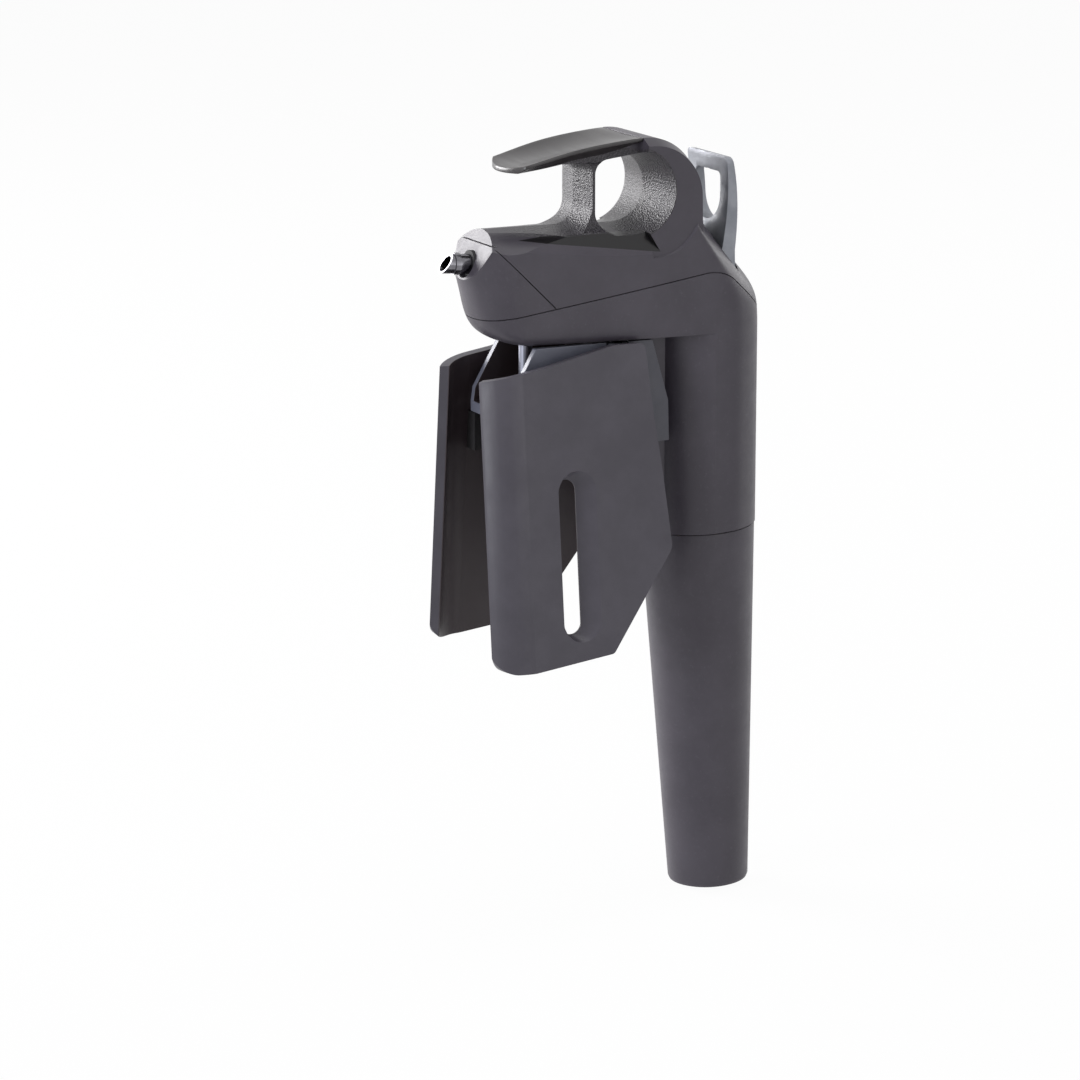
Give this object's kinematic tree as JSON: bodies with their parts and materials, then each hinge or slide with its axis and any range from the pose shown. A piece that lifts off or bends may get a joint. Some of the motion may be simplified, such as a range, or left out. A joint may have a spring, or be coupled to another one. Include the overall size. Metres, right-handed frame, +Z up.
{
  "type": "wine preservation dispenser",
  "caption": "Handheld wine dispenser: angled head with needle, pouring spout, gas trigger, long capsule cup and hinged clamp plates for a bottle's neck.",
  "frame": {"origin": "needle axis, level with the rim of the bottle the device clamps on", "axes": "+Z up along the needle, the spout points to -Y, the capsule cup stands at +Y, X = 0 is the plane of symmetry"},
  "size_m": [0.0502, 0.0908, 0.2061],
  "materials": {
    "body": "fine matte grain",
    "palm": "satin, soft to the touch",
    "lever": "satin",
    "carriage": "satin",
    "steel": "polished",
    "brushed": "brushed",
    "brass": "turned",
    "bearing": "low friction",
    "rubber": "matte"
  },
  "bodies": {
    "carriage": {"carriage": "carriage", "guide_housing": "carriage", "guide_bush": "bearing", "slide_rail": "brushed", "carriage_screws": "steel", "clamp_pins": "steel", "clamp_springs": "steel"},
    "head": {"handle_shell": "body", "nose_cover": "body", "lower_body": "body", "palm_pad": "palm", "spout_tube": "steel", "spout_seal": "rubber", "wine_manifold": "bearing", "needle": "steel", "needle_hub": "brushed", "hub_seal": "rubber", "gas_tube": "brushed", "regulator_body": "brass", "regulator_piston": "brass", "regulator_spring": "steel", "piercing_pin": "steel", "capsule_seal": "rubber", "valve_seal": "rubber", "valve_spring": "steel", "trigger_pin": "steel", "body_screws": "steel"},
    "trigger": {"trigger": "lever"},
    "valve_stem": {"valve_stem": "steel"},
    "capsule": {"argon_capsule": "brushed"},
    "cup": {"cup": "body", "cup_insert": "brass"},
    "clamp_right": {"clamp_right": "body", "pad_right": "rubber"},
    "clamp_left": {"clamp_left": "body", "pad_left": "rubber"}
  },
  "joints": [
    {"name": "head_lift", "type": "slide", "parent": "carriage", "child": "head", "axis": [0, 0, 1], "range_m": [0, 0.056]},
    {"name": "trigger_pull", "type": "hinge", "parent": "head", "child": "trigger", "pos_m": [0, 0.054, 0.033], "axis": [1, 0, 0], "range_deg": [0, 10], "stiffness_Nm_per_rad": 0.5, "springref_deg": -2.86},
    {"name": "valve_press", "type": "slide", "parent": "head", "child": "valve_stem", "axis": [0, 0.0436, -0.999], "range_m": [0, 0.0011], "deforming": ["valve_spring"]},
    {"name": "cup_turn", "type": "hinge", "parent": "capsule", "child": "cup", "pos_m": [0, 0.0508, -0.0334], "axis": [0, 0.0436, -0.999], "range_deg": [0, 720]},
    {"name": "capsule_drop", "type": "slide", "parent": "head", "child": "capsule", "axis": [0, 0.0436, -0.999], "range_m": [0, 0.004]},
    {"name": "clamp_right_open", "type": "hinge", "parent": "carriage", "child": "clamp_right", "pos_m": [0.011, 0.021, 0], "axis": [0, 0, 1], "range_deg": [0, 9], "stiffness_Nm_per_rad": 0.3, "springref_deg": -11.46},
    {"name": "clamp_left_open", "type": "hinge", "parent": "carriage", "child": "clamp_left", "pos_m": [-0.011, 0.021, 0], "axis": [0, 0, -1], "range_deg": [0, 9], "stiffness_Nm_per_rad": 0.3, "springref_deg": -11.46}
  ],
  "couplings": [
    {"joint": "valve_press", "follows": "trigger_pull", "m_per_rad": 0.0056},
    {"joint": "capsule_drop", "follows": "cup_turn", "m_per_rad": 0.00031831}
  ]
}
